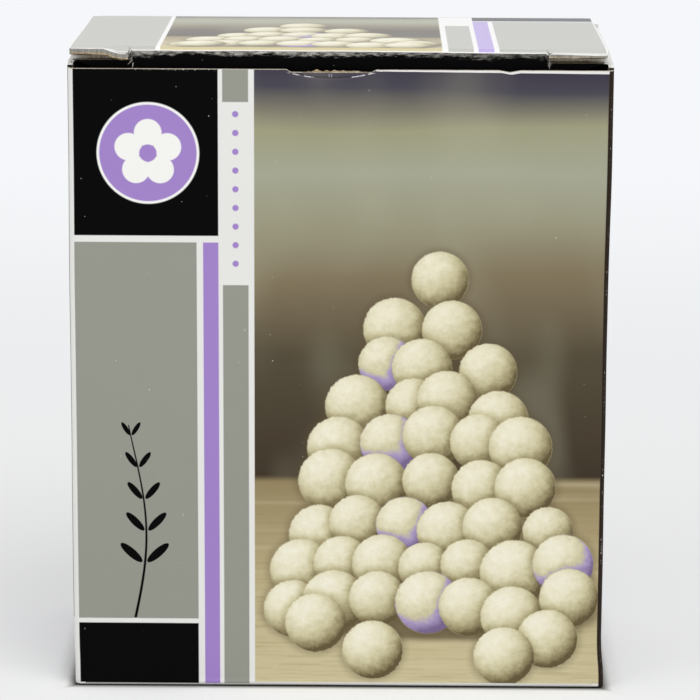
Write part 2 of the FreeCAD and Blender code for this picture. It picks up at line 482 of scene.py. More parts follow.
def add_lifted_layer(made):
    """Ragged strip of the board's middle layer, torn loose along the thumb dip."""
    sheet_layer = made.verts.layers.float_vector["sheet"]
    depth_layer = made.verts.layers.float["depth"]
    left, right = thumb_middle - 8.2, thumb_middle + thumb_width / 2 - 2.0
    count = 70
    before = None
    for step in range(count + 1):
        share = step / count
        x = left + (right - left) * share
        rise = 0.75 * sin(pi * share) ** 0.4 * (0.7 + 0.5 * noise.noise(Vector((x * 0.9, 3.1, 0))))
        rise += 0.5 * max(0.0, 1 - abs(x - thumb_middle + 4.2) / 0.9)
        lean = -0.35 + 0.25 * noise.noise(Vector((x * 0.5, 7.7, 0)))
        row = []
        for height, depth in ((-0.6, 0.55), (0.4, 0.5), (1.0, 0.45)):
            y = -half_depth + board * 0.45 + lean * max(0.0, height)
            z = front_height - thumb_depth + rise * height
            spot = made.verts.new(Vector((x, y, z)) * MM)
            spot[sheet_layer] = (x, z, 0)
            spot[depth_layer] = depth
            row.append(spot)
        if before:
            for low, high in ((0, 1), (1, 2)):
                corners = [before[low], row[low], row[high], before[high]]
                made.faces.new(corners).material_index = RAW
        before = row


def add_fibre(made, start, way, length, width, curl):
    """Small torn curl of paper: a tapered ribbon that starts on a torn edge."""
    sheet_layer = made.verts.layers.float_vector["sheet"]
    depth_layer = made.verts.layers.float["depth"]
    side = way.cross(Y).normalized()
    before = None
    count = 6
    for step in range(count + 1):
        share = step / count
        point = start + way * length * share - Y * curl * share**2
        half = side * width / 2 * (1 - 0.85 * share)
        row = []
        for edge in (point - half, point + half):
            spot = made.verts.new(edge * MM)
            spot[sheet_layer] = (edge.x, edge.z, 0)
            spot[depth_layer] = 0.02
            row.append(spot)
        if before:
            corners = [before[0], before[1], row[1], row[0]]
            made.faces.new(corners).material_index = RAW
        before = row


def add_seam_flap(made):
    """Glued flap from the back panel, flat against the left panel's inside."""
    root = half_depth - fold_outside
    path = FoldPath(Vector((-half_width + board, root, 0)), -Y, X, [("run", seam_width)])
    outline = [
        (0, fold_outside),
        (0, dust_top),
        (0.01, side_crease),
        (seam_width, side_crease - seam_taper),
        (seam_width, fold_outside + seam_taper),
    ]
    add_sheet(
        made,
        path,
        Z,
        outline,
        lambda u, v: abs(u) < 0.001,
        lambda u, v: (front_middle + u, v),
    )


def side_print(side, y):
    """Place across the printed sheet of a point on a side panel."""
    return side * (front_run / 2 + fold_length + y + half_depth - fold_outside)


def add_dust_flap(made, side):
    """Tapered flap folded in from a side panel's top."""
    start = Vector((side * half_width, 0, side_crease))
    steps = [("bend", 90), ("run", dust_length - fold_outside)]
    path = FoldPath(start, Z, -X * side, steps)
    front = dust_front_edge()
    rear = half_depth - board - dust_rear_gap
    plan = [
        (0, front),
        (dust_lock, front),
        (dust_length, front + dust_taper_front),
        (dust_length, rear - dust_taper_rear),
        (dust_taper_rear, rear),
        (0, rear),
    ]
    plan = rounded(plan, (2, 3), dust_corner)
    outline = [(path.reach(-X * side, distance), v) for distance, v in plan]
    outline = [(0.0 if distance < 0.01 else distance, v) for distance, v in outline]
    add_sheet(
        made,
        path,
        Y,
        outline,
        lambda u, v: abs(u) < 0.001,
        lambda u, v: (side_print(side, v), side_crease + u),
        dust_wear,
    )


def climb_steps(rise, first_bend=0.0):
    """Steps that lift a flap's outer face, after an optional fold at its root."""
    lift = (fold_outside + fold_inside) * (1 - cos(radians(climb)))
    run = (rise - lift) / sin(radians(climb))
    return [("bend", first_bend + climb), ("run", run), ("bend", -climb)]


def climb_length(rise):
    """Level distance that a climb of that rise covers."""
    run = climb_steps(rise)[1][1]
    return (fold_outside + fold_inside) * sin(radians(climb)) + run * cos(radians(climb))


def add_flap(made, path, inward, across, plan, printed, worn=None):
    """Flap whose outline is given by its level distance from the panel's face."""
    outline = []
    for distance, v in plan:
        along = path.reach(inward, distance) if distance > 0 else 0.0
        outline.append((along, v))
    add_sheet(made, path, across, outline, lambda u, v: abs(u) < 0.001, printed, worn)


def both_sides(right):
    """A closed outline from its half of larger v."""
    return right + [(distance, -v) for distance, v in reversed(right)]


def add_bottom_front_flap(made):
    """Outermost bottom flap, with the tongue that climbs through the rear flap's notch."""
    steps = [("bend", 90), ("run", front_flap_depth - fold_outside)]
    steps += climb_steps(3 * board)
    steps += [("run", flap_gap + tongue_lap)]
    path = FoldPath(Vector((0, -half_depth, fold_outside)), -Z, Y, steps)
    root = half_width - fold_outside - crease_relief
    tip = front_flap_depth + climb_length(3 * board) + flap_gap + tongue_lap
    right = [
        (0, root),
        (fold_outside, root),
        (fold_outside + front_flap_chamfer, root - front_flap_chamfer),
        (front_flap_depth, root - front_flap_chamfer),
        (front_flap_depth, tongue_width / 2),
        (tip, tongue_width / 2),
    ]
    plan = rounded(both_sides(right), (3, 5, 6, 8), flap_corner)
    add_flap(made, path, Y, X, plan, lambda u, v: (v, fold_outside - u), base_wear)


def add_bottom_side_flap(made, side):
    """Bottom flap between the front flap and the rear flap."""
    steps = climb_steps(board, 90.0)
    reached = fold_outside + climb_length(board)
    steps += [("run", side_flap_length - reached)]
    path = FoldPath(Vector((side * half_width, 0, fold_outside)), -Z, -X * side, steps)
    front = -half_depth + fold_outside + crease_relief
    rear = half_depth - fold_outside - crease_relief
    plan = [
        (0, front),
        (reached, front),
        (side_flap_length, front + side_flap_front_inset),
        (side_flap_length, 0),
        (reached + side_flap_waist, rear - side_flap_waist),
        (fold_outside, rear),
        (0, rear),
    ]
    plan = rounded(plan, (2, 3), flap_corner)
    add_flap(
        made, path, -X * side, Y, plan, lambda u, v: (side_print(side, v), fold_outside - u)
    )


def add_bottom_rear_flap(made):
    """Innermost bottom flap, with the notch for the front flap's tongue."""
    steps = climb_steps(2 * board, 90.0)
    reached = fold_outside + climb_length(2 * board)
    steps += [("run", rear_flap_depth - reached)]
    path = FoldPath(Vector((0, half_depth, fold_outside)), -Z, -Y, steps)
    root = half_width - fold_outside - crease_relief
    notch = 2 * half_depth - front_flap_depth - climb_length(3 * board) - flap_gap
    half_notch = tongue_width / 2 + flap_gap
    right = [
        (0, root),
        (fold_outside, root),
        (reached, root - rear_flap_taper),
        (rear_flap_depth, root - rear_flap_taper),
        (rear_flap_depth, half_notch),
        (notch, half_notch),
    ]
    plan = rounded(both_sides(right), (3, 4, 7, 8), flap_corner)
    back_print = front_run / 2 + side_run + 2 * fold_length + back_run / 2
    add_flap(
        made, path, -Y, X, plan, lambda u, v: (back_print - v, fold_outside - u)
    )


def lid_sheet():
    """Lid panel with its shoulders, and the tuck flap between the slits."""
    made = new_sheet()
    fold_start = tuck_face + fold_outside
    rear = hinge_y - crease_lap
    panel_path = FoldPath(Vector((0, rear, lid_top)), -Y, -Z, [("run", rear - lid_front)])
    fold_at = rear - fold_start
    shoulder = rear - lid_front
    panel = [
        (0, lid_half),
        (fold_at, lid_half),
        (shoulder, lid_half),
        (shoulder, slit_inner),
        (fold_at, slit_inner),
    ]
    panel = rounded(both_sides(panel), (2, 7), lid_corner, 4)
    panel.insert(0, (0, crease_half))
    panel.append((0, -crease_half))

    def panel_joined(u, v):
        at_fold = abs(u - fold_at) < 0.001 and abs(v) < slit_inner
        return at_fold or (u < 0.001 and abs(v) < crease_half)

    def lid_print(u, v):
        return v, rear - u

    def near_slit(u, v):
        return abs(abs(v) - slit_inner) < 5 and u > fold_at - 4

    add_sheet(made, panel_path, X, panel, panel_joined, lid_print, lid_wear, near_slit)
    tilt = tuck_tilt()
    drop = lid_top - fold_outside * (1 + sin(radians(tilt))) - tuck_tip
    tuck_steps = [("bend", 90 + tilt), ("run", drop / cos(radians(tilt)))]
    tuck_path = FoldPath(Vector((0, fold_start, lid_top)), -Y, -Z, tuck_steps)
    wide = tuck_path.reach(-Z, lid_top - slit_bottom)
    tip = tuck_path.length
    tuck = [(0, slit_inner), (wide, slit_inner), (wide, tuck_half), (tip, tuck_half)]
    tuck = rounded(both_sides(tuck), (3, 4), tuck_corner, 10)
    add_sheet(
        made,
        tuck_path,
        X,
        tuck,
        lambda u, v: abs(u) < 0.001,
        lambda u, v: (v, fold_start - u),
        lid_wear,
        lambda u, v: u < wide + 1,
        TUCK,
    )
    for side in (-1, 1):
        for step in range(7):
            spread = noise.noise(Vector((step * 2.3, side * 5.1, 0.4)))
            start = Vector((side * (slit_inner + 0.5 * spread), tuck_face - 0.1, lid_top - 1.6))
            start.z -= 0.45 * step
            way = Vector((side * (0.7 + spread), -0.5, 0.9 - 0.35 * step)).normalized()
            add_fibre(made, start, way, 1.1 + 0.9 * abs(spread), 0.38, 0.5)
    return made


def crease_sheet():
    """Rear crease, which bends as the lid swings."""
    made = new_sheet()
    outer = [Vector((0, half_depth, dust_top))]
    radius = board / 2
    for step in range(9):
        angle = radians(90 * step / 8)
        spoke = Vector((0, cos(angle), sin(angle))) * radius
        outer.append(Vector((0, hinge_y, hinge_z)) + spoke)
    outer.append(Vector((0, hinge_y - crease_lap, lid_top)))
    inner = [
        Vector((0, half_depth - board, dust_top)),
        Vector((0, half_depth - board, lid_under)),
        Vector((0, hinge_y - crease_lap, lid_under)),
    ]
    sheet_layer = made.verts.layers.float_vector["sheet"]
    depth_layer = made.verts.layers.float["depth"]
    columns = [-crease_half]
    columns += [step * cell for step in range(ceil(-crease_half / cell), floor(crease_half / cell) + 1)]
    columns.append(crease_half)
    for chain, depth, index in ((outer, 0.0, OUTER), (inner, 1.0, INNER)):
        rows = []
        for x in columns:
            row = []
            for point in chain:
                side = lid_shift * share(point.z, dust_top, lid_top)
                spot = made.verts.new((point + X * (x + side)) * MM)
                spot[sheet_layer] = (x, point.y + point.z - lid_top, 0)
                spot[depth_layer] = depth
                row.append(spot)
            rows.append(row)
        for left, right in zip(rows, rows[1:]):
            for step in range(len(chain) - 1):
                face = made.faces.new([left[step], right[step], right[step + 1], left[step + 1]])
                face.material_index = index
    return made


def share(value, low, high):
    """Smooth rise from 0 at low to 1 at high."""
    part = min(1.0, max(0.0, (value - low) / (high - low)))
    return part * part * (3 - 2 * part)


def thumb_groove(point):
    """Depth of the half-moon crease pressed into the front panel."""
    half = thumb_width / 2
    rise = thumb_crease_drop - thumb_depth
    radius = (half**2 + rise**2) / (2 * rise)
    level = front_height - thumb_crease_drop + radius
    across = point.x - thumb_middle
    away = abs(hypot(across, point.z - level) - radius + thumb_crease_line / 2)
    if abs(across) > half or point.y > -half_depth + 2 * board:
        return 0.0
    return thumb_crease_depth * (1 - share(away, 0.1, 0.45))


def body_wear(point, inward, depth):
    """Slight bulge and waviness of the panels, dented edges and the thumb's crease."""
    level = (point.z - fold_outside) / (front_height - fold_outside)
    rise = sin(pi * min(1.0, max(0.0, level)))
    fade = share(min(point.z - fold_outside, front_height - point.z), 0, 9)
    shift = -0.12 * fade * noise.noise(point / 28)
    front = point.y < -half_depth + fold_outside
    if front:
        shift -= 0.3 * cos(pi * point.x / (2 * half_width)) * rise
        shift += thumb_groove(point)
        edge = share(point.z, front_height - 2.0, front_height)
        shift += edge * (0.1 * noise.noise(point / 7) + 0.06 * noise.noise(point / 1.7))
    drop = front_sag(point)
    if front and point.z > front_height - 2.0:
        drop += 0.1 * max(0.0, noise.noise(Vector((point.x / 2.1, 4, 0))))
        chip = abs(point.x - right_chip)
        drop += 0.7 * (1 - share(chip, 0.2, 1.5))
    lean = 0.25 if point.x < 0 else 0.42
    pull = share(point.z, 160, 115) * share(point.z, 4, 16) * share(abs(point.x), 73, 77.5)
    knock = 0.0
    if point.x > 0:
        knock = 0.5 * share(point.z, 12, 3) * share(-point.y, 35.5, 38) * share(point.x, 74, 77)
    return inward * shift - Z * drop + X * (knock - lean * pull) + base_set(point)


def base_set(point):
    """Lift and bulge of the front panel's foot, which stands a little off the floor."""
    amount = share(point.z, 30, fold_outside) * share(-point.y, 34, 38.5)
    return (Z * base_lift - Y * base_bulge) * amount


def base_wear(point, inward, depth):
    """Fold at the front of the base: pressed fuller than a plain bend, and lifted."""
    away = Vector((0, point.y + half_depth - fold_outside, point.z - fold_outside))
    push = Vector((0, 0, 0))
    if away.y < 0 and away.z < 0 and away.length > 0.1:
        full = 2 * away.y * away.z / away.length_squared
        push = away.normalized() * full * (1 - depth) * base_fullness
    return push + base_set(point)


def front_sag(point):
    """Drop of the dust flaps and their folds towards the front."""
    most = 0.85 if point.x < 0 else 1.05
    return most * share(-point.y, 15, 35.5) * share(point.z, 182.0, 185.0)


def dust_wear(point, inward, depth):
    return -Z * front_sag(point)


def lid_wear(point, inward, depth):
    """Skew of the lid, drooping shoulders, torn slit ends and a dented crease."""
    front = share(-point.y, -20, 38)
    shift = X * (lid_shift + lid_spread * front * point.x / lid_half)
    drop = 0.35 * share(point.x, 0, 60) * front
    beyond = abs(point.x) > slit_inner - 0.01
    level = point.z > lid_under - 0.01
    if beyond and level:
        bent = share(-point.y, 33, 38.8)
        outward = share(abs(point.x), slit_inner, lid_half)
        if point.x < 0:
            drop += bent * (0.27 + 1.45 * share(outward, 0.4, 0) + 0.15 * depth)
        else:
            drop += bent * (0.85 + 0.35 * outward - (0.3 + 0.6 * outward) * depth)
        ragged = 0.5 * noise.noise(Vector((point.x / 3.7, depth * 0.8, 2.2)))
        shift += Y * 0.4 * bent * ragged
    tear = share(abs(abs(point.x) - slit_inner), 2.2, 0) * share(-point.y, 34.5, 37)
    if tear and point.z > slit_bottom - 0.5:
        away = 1 if beyond and level else -1
        side = 1 if point.x > 0 else -1
        jag = 0.3 + 0.35 * noise.noise(Vector((point.z * 1.9, point.y * 1.9, side * 3.0)))
        shift += X * side * away * tear * jag
    dent = 0.0
    if not beyond or not level:
        dent = 0.16 * share(-point.y, 34, 36.5) * noise.noise(Vector((point.x / 5, point.z / 3, 0)))
    return shift + inward * dent - Z * drop


class Graph:
    """Node tree of a material, or of a group without roughness, with short calls for its nodes."""

    def __init__(self, name, roughness=None, specular=None):
        if roughness is None:
            self.tree = bpy.data.node_groups.new(name, "ShaderNodeTree")
            return
        self.material = bpy.data.materials.new(name)
        self.material.use_nodes = True
        self.tree = self.material.node_tree
        self.shader = self.tree.nodes["Principled BSDF"]
        self.shader.inputs["Roughness"].default_value = roughness
        self.shader.inputs["Specular IOR Level"].default_value = specular

    def node(self, kind, inputs=(), **settings):
        """Adds a node, with inputs given by name or number as values or sockets."""
        made = self.tree.nodes.new(kind)
        for key, value in settings.items():
            setattr(made, key, value)
        for key, value in dict(inputs).items():
            if isinstance(value, bpy.types.NodeSocket):
                self.tree.links.new(value, made.inputs[key])
            else:
                made.inputs[key].default_value = value
        return made

    def math(self, operation, first, second=0.0, third=0.0, clamp=False):
        inputs = {0: first, 1: second, 2: third}
        return self.node("ShaderNodeMath", inputs, operation=operation, use_clamp=clamp).outputs[0]

    def vector(self, operation, first, second=(0, 0, 0), third=(0, 0, 0)):
        inputs = {0: first, 1: second, 2: third}
        made = self.node("ShaderNodeVectorMath", inputs, operation=operation)
        return made.outputs["Value" if operation in ("LENGTH", "DOT_PRODUCT") else "Vector"]

    def split(self, vector):
        return self.node("ShaderNodeSeparateXYZ", {0: vector}).outputs

    def join(self, x, y, z=0.0):
        return self.node("ShaderNodeCombineXYZ", {0: x, 1: y, 2: z}).outputs[0]

    def step(self, value, low, high):
        """Rises smoothly from 0 at low to 1 at high."""
        inputs = {"Value": value, "From Min": low, "From Max": high}
        settings = {"interpolation_type": "SMOOTHSTEP", "clamp": False}
        return self.node("ShaderNodeMapRange", inputs, **settings).outputs[0]

    def mix(self, share, below, above, blend="MIX"):
        inputs = {0: share, 6: below, 7: above}
        made = self.node("ShaderNodeMix", inputs, data_type="RGBA", blend_type=blend)
        return made.outputs[2]

    def noise(self, place, size, detail=2.0, roughness=0.5):
        """Noise from 0 to 1 with features of about that size in mm."""
        inputs = {"Vector": place, "Scale": 1 / size, "Detail": detail, "Roughness": roughness}
        return self.node("ShaderNodeTexNoise", inputs, noise_dimensions="3D").outputs[0]

    def cells(self, place, size, randomness=1.0):
        """Distance to, colour of and place of the nearest of scattered points."""
        inputs = {"Vector": place, "Scale": 1 / size, "Randomness": randomness}
        made = self.node("ShaderNodeTexVoronoi", inputs, voronoi_dimensions="2D")
        return made.outputs["Distance"], made.outputs["Color"], made.outputs["Position"]

    def ramp(self, value, stops):
        """Colour by value, from (value, colour) pairs."""
        made = self.node("ShaderNodeValToRGB", {0: value})
        band = made.color_ramp
        for position, colour in stops[1:-1]:
            band.elements.new(position).color = colour
        ends = (band.elements[0], stops[0]), (band.elements[-1], stops[-1])
        for element, (position, colour) in ends:
            element.position = position
            element.color = colour
        return made.outputs[0]

    def scaled(self, value, low, high):
        """The value as a share of the way from low to high."""
        return self.math("MULTIPLY", self.math("SUBTRACT", value, low), 1 / (high - low))

    def sheet(self):
        """Place in the printed sheet, in mm."""
        return self.node("ShaderNodeAttribute", attribute_name="sheet").outputs["Vector"]

    def field(self, place, left, right, low, high, soft=0.15):
        """1 inside a rectangle of the sheet and 0 outside."""
        centre = ((left + right) / 2, (low + high) / 2, 0)
        half = ((right - left) / 2, (high - low) / 2, 0)
        away = self.vector("ABSOLUTE", self.vector("SUBTRACT", place, centre))
        x, y, _ = self.split(self.vector("SUBTRACT", away, half))
        return self.step(self.math("MAXIMUM", x, y), soft, -soft)

    def disc(self, place, centre, radius, squash=1.0, soft=0.2):
        """1 inside a circle, or an ellipse of height squash times its width."""
        away = self.vector("SUBTRACT", place, (*centre, 0))
        away = self.vector("MULTIPLY", away, (1, 1 / squash, 0))
        return self.step(self.vector("LENGTH", away), radius + soft, radius - soft)

    def finish(self, colour, height=None, depth_mm=0.1):
        """Joins colour and bump to the shader."""
        self.tree.links.new(colour, self.shader.inputs["Base Color"])
        if height:
            bump = self.node("ShaderNodeBump", {"Height": height, "Distance": depth_mm * MM})
            self.tree.links.new(bump.outputs[0], self.shader.inputs["Normal"])
        return self.material


def ink(red, green, blue):
    """Linear colour from a display colour of 0 to 255."""
    return (*[((value / 255 + 0.055) / 1.055) ** 2.4 for value in (red, green, blue)], 1)


white = ink(236, 236, 234)
front_white = ink(224, 224, 222)
black = ink(3, 3, 4)
grey = ink(146, 147, 138)
# The lid's grey, black and lilac are lighter than the front's inks: painted sheen of the glossy top seen at
# a grazing angle, on top of the lid shader's own reflection.
lid_grey_painted_sheen = ink(182, 183, 176)
lid_black_painted_sheen = ink(62, 62, 66)
lid_lilac_painted_sheen = ink(182, 165, 216)
lilac = ink(157, 129, 196)
side_dark = ink(44, 35, 28)
side_grey = ink(88, 88, 84)
kraft = ink(172, 152, 122)
liner_grey = ink(168, 160, 146)
bare_paper = ink(216, 212, 204)
pale_room = ink(246, 247, 250)

# Print on the front panel, in mm from its middle and from the floor
left_border = -75.9
field_right = -41.0
black_low = 134.55
grey_low, grey_high = 20.6, 132.65
foot_low, foot_high = 1.0, 19.2
stripe_left, stripe_right = -39.15, -34.75
column_left, column_right = -33.5, -26.15
column_top = 120.25
label_low = 173.15
picture_left, picture_right = -24.5, 76.1
picture_low = 1.5
bleed = 190.0
side_bleed = 76.0  # the right panel's dark ground starts on the fold
side_top = 184.0

# Print on the lid, in mm from its middle and from the carton's middle
lid_border = -36.8
black_start = -37.1
lid_picture_left, lid_picture_right = -50.3, 29.3


cream_stops = [
    (0.0, ink(98, 86, 60)),
    (0.25, ink(154, 144, 108)),
    (0.5, ink(200, 193, 157)),
    (0.75, ink(228, 223, 197)),
    (1.0, ink(243, 241, 228)),
]
tinted_stops = [(0.0, ink(118, 100, 140)), (0.3, ink(166, 150, 190)), *cream_stops[2:]]
cotton_shadow = ink(88, 75, 52)
table_front = ink(200, 190, 153)


def cotton_group():
    """Node group that draws a cotton ball, with a soft shadow round it.

    The colour that passes through the balls holds the light, the tint and 1 on cotton.
    """
    graph = Graph("cotton_ball")
    sockets = [("Place", "Vector"), ("Scale", "Vector"), ("Shift", "Vector"), ("Drawn", "Color")]
    sockets += [(name, "Float") for name in ("Gain", "Base", "Tint")]
    for name, kind in sockets:
        graph.tree.interface.new_socket(name, in_out="INPUT", socket_type="NodeSocket" + kind)
    graph.tree.interface.new_socket("Drawn", in_out="OUTPUT", socket_type="NodeSocketColor")
    given = graph.node("NodeGroupInput").outputs
    offset = graph.vector("MULTIPLY_ADD", given["Place"], given["Scale"], given["Shift"])
    away = graph.vector("LENGTH", offset)
    side = graph.vector("DOT_PRODUCT", offset, (-0.42, 0.6, 0))
    light = graph.math("MULTIPLY_ADD", graph.math("POWER", away, 3.2), -0.6, side)
    light = graph.math("MULTIPLY_ADD", light, given["Gain"], given["Base"])
    ball = graph.node("ShaderNodeCombineColor", {0: light, 1: given["Tint"], 2: 1.0}).outputs[0]
    shade = graph.math("MULTIPLY", graph.step(away, 1.32, 0.85), 0.5)
    drawn = graph.mix(shade, given["Drawn"], (0, 1, 1, 1), "MULTIPLY")
    graph.node("NodeGroupOutput", {0: graph.mix(graph.step(away, 1.03, 0.97), drawn, ball)})
    return graph.tree


def heap(middle, low, spread, rise, radius):
    """Cotton balls of a heap, from its top row to the front row."""
    rows = round(rise / (1.3 * radius))
    balls = []
    for row in range(rows, -1, -1):
        part = row / rows
        half = (spread - radius) * (1 - part**1.35) + 0.35 * radius
        count = max(2, round(2 * half / (1.5 * radius)) + 1) if row < rows else 1
        for step in range(count):
            spot = Vector((row * 3.7, step * 2.9, 1.3))
            jog, lift, swell = [noise.noise(spot + Z * turn * 5.3) for turn in range(3)]
            across = 2 * step / (count - 1) - 1 if count > 1 else 0.1
            x = middle + half * across + 0.55 * radius * jog
            z = low + rise * part + 0.6 * radius * lift - 0.25 * radius * abs(across)
            tone = 0.88 + 0.12 * (1 - part) + 0.1 * swell
            tint = 1.0 if (row * 5 + step * 3) % 7 == 2 else 0.0
            balls.append(((x, z, 0), radius * (1 + 0.28 * swell), tone, tint))
    return balls


def room_and_table(graph, place, low, high, table_edge):
    """Blurred room in soft bands above a wooden table."""
    z = graph.split(place)[1]
    broad = graph.noise(graph.vector("MULTIPLY", place, (0.35, 1, 1)), 34, 1.0)
    patches = graph.noise(graph.vector("MULTIPLY", place, (1, 0.5, 1)), 26, 1.0)
    level = graph.scaled(z, table_edge, high)
    level = graph.math("ADD", level, graph.scaled(broad, 0.5, 12.0))
    room = graph.ramp(
        level,
        [
            (0.0, ink(62, 53, 42)),
            (0.3, ink(82, 74, 58)),
            (0.5, ink(126, 114, 90)),
            (0.63, ink(150, 147, 124)),
            (0.75, ink(160, 162, 143)),
            (0.86, ink(153, 152, 124)),
            (0.905, ink(118, 115, 103)),
            (0.95, ink(72, 70, 80)),
            (1.0, ink(62, 58, 72)),
        ],
    )
    haze = graph.math("MULTIPLY", graph.step(patches, 0.42, 0.7), 0.2)
    room = graph.mix(haze, room, ink(170, 168, 146))
    grain = graph.noise(graph.vector("MULTIPLY", place, (0.05, 1, 1)), 1.0, 4.0, 0.65)
    streak = graph.noise(graph.vector("MULTIPLY", place, (0.03, 1, 1)), 4.5, 2.0)
    wood = graph.ramp(
        graph.scaled(z, low, table_edge),
        [(0.0, table_front), (0.55, ink(178, 165, 126)), (1.0, ink(142, 127, 93))],
    )
    grained = graph.math("MULTIPLY", graph.step(grain, 0.45, 0.8), 0.5)
    wood = graph.mix(grained, wood, ink(146, 125, 88))
    streaked = graph.math("MULTIPLY", graph.step(streak, 0.5, 0.8), 0.35)
    wood = graph.mix(streaked, wood, ink(216, 206, 176))
    return graph.mix(graph.step(z, table_edge + 1.3, table_edge - 1.3), room, wood)


def picture(graph, place, left, right, low, high, loose):
    """Generic picture: a heap of cotton balls on a table, with a few loose ones in front."""
    height = high - low
    middle = (left + right) / 2
    spread = 0.45 * (right - left)
    radius = 0.088 * (right - left)
    heap_low = low + 0.14 * height
    colour = room_and_table(graph, place, low, high, low + 0.34 * height)
    ground = (middle + 3, heap_low - 0.5 * radius)
    shadow = graph.disc(place, ground, spread * 1.04, 0.17, 8.0)
    colour = graph.mix(graph.math("MULTIPLY", shadow, 0.8), colour, cotton_shadow)
    fuzz = graph.scaled(graph.noise(place, 1.3, 4.0, 0.75), 0.5, 1.5)
    fuzzy = graph.vector("ADD", place, graph.join(fuzz, graph.math("MULTIPLY", fuzz, -1.0)))
    strands = graph.scaled(graph.noise(place, 2.4, 5.0, 0.7), 0.5, 2.0)
    balls = heap(middle, heap_low, spread, 0.52 * height, radius)
    for across, up in loose:
        balls.append(((middle + across * spread, low + up * height, 0), radius, 1.0, 0.0))
    drawn = (1, 0, 0, 1)
    for (x, z, _), size, tone, tint in balls:
        inputs = {"Place": fuzzy, "Scale": (1 / size,) * 3, "Shift": (-x / size, -z / size, 0)}
        inputs.update({"Drawn": drawn, "Gain": tone / 1.5, "Base": tone * 0.4 + 0.24, "Tint": tint})
        drawn = graph.node("ShaderNodeGroup", inputs, node_tree=cotton_ball).outputs[0]
    light, tint, cotton = graph.node("ShaderNodeSeparateColor", {0: drawn}).outputs
    table = graph.mix(light, cotton_shadow, colour)
    light = graph.math("MULTIPLY_ADD", strands, 1 / 1.5, light)
    shaded = graph.mix(tint, graph.ramp(light, cream_stops), graph.ramp(light, tinted_stops))
    return graph.mix(cotton, table, shaded)


def flower(graph, place, colour, centre, radius):
    """Lilac roundel with a white ring and a white five-petal flower."""
    colour = graph.mix(graph.disc(place, centre, radius), colour, white)
    colour = graph.mix(graph.disc(place, centre, radius * 0.95), colour, lilac)
    for petal in range(5):
        angle = radians(90 + 72 * petal)
        spot = (centre[0] + radius * 0.4 * cos(angle), centre[1] + radius * 0.4 * sin(angle))
        colour = graph.mix(graph.disc(place, spot, radius * 0.27), colour, white)
    return graph.mix(graph.disc(place, centre, radius * 0.17), colour, lilac)


def sprig(graph, place, colour, foot, length):
    """Thin black sprig: a gently curved stem with paired leaves."""
    x, z, _ = graph.split(place)
    part = graph.scaled(z, foot[1], foot[1] + length)
    bend = graph.math("MULTIPLY", graph.math("SINE", graph.math("MULTIPLY", part, 3.6)), 3.4)
    away = graph.math("ABSOLUTE", graph.math("SUBTRACT", graph.math("SUBTRACT", x, foot[0]), bend))
    thick = graph.math("SUBTRACT", 0.42, graph.math("MULTIPLY", part, 0.25))
    stem = graph.step(graph.math("SUBTRACT", away, thick), 0.12, -0.12)
    stem = graph.math("MULTIPLY", stem, graph.field(place, -90, 0, foot[1], foot[1] + length))
    colour = graph.mix(stem, colour, black)
    for step in range(5):
        share_up = 0.28 + 0.165 * step
        node = (foot[0] + 3.4 * sin(3.6 * share_up), foot[1] + share_up * length)
        for side in (-1, 1):
            lean = radians(90 - side * (48 - 4 * step))
            reach = 5.2 - 0.6 * step
            middle = (node[0] + reach * cos(lean), node[1] + reach * sin(lean))
            turned = graph.node(
                "ShaderNodeVectorRotate",
                {"Vector": place, "Center": (*middle, 0), "Angle": -lean},
                rotation_type="Z_AXIS",
            ).outputs[0]
            leaf = graph.disc(turned, middle, reach * 0.8, 0.3, 0.15)
            colour = graph.mix(leaf, colour, black)
    return colour


def rubbed(graph, place, distance, colour, paper=bare_paper):
    """Print rubbed away where the distance to an edge or fold is small."""
    fine = graph.noise(place, 0.8, 5.0, 0.75)
    patch = graph.scaled(graph.noise(place, 16.0, 2.0), 0.5, 2.4)
    value = graph.math("SUBTRACT", graph.math("ADD", fine, patch), graph.math("MULTIPLY", distance, 0.3))
    return graph.mix(graph.step(value, 0.56, 0.68), colour, paper)


def specked(graph, place, colour):
    """Sparse small white nicks in the print."""
    distance, tint, _ = graph.cells(place, 9.0)
    red, green, _ = graph.split(tint)
    reach = graph.math("MULTIPLY_ADD", graph.math("POWER", green, 3.0), 0.022, 0.005)
    ragged = graph.scaled(graph.noise(place, 0.35, 2.0), 0.5, 22.0)
    inside = graph.math("SUBTRACT", graph.math("ADD", distance, ragged), reach)
    hit = graph.math("MULTIPLY", graph.step(inside, 0.01, -0.005), graph.step(red, 0.6, 1.0))
    return graph.mix(graph.math("MULTIPLY", hit, 0.6), colour, bare_paper)


def in_part(pictured, left, right):
    """Whether a rectangle of the front or a side shows in that part of the print."""
    return not pictured or (right > picture_start and left < fold_end)


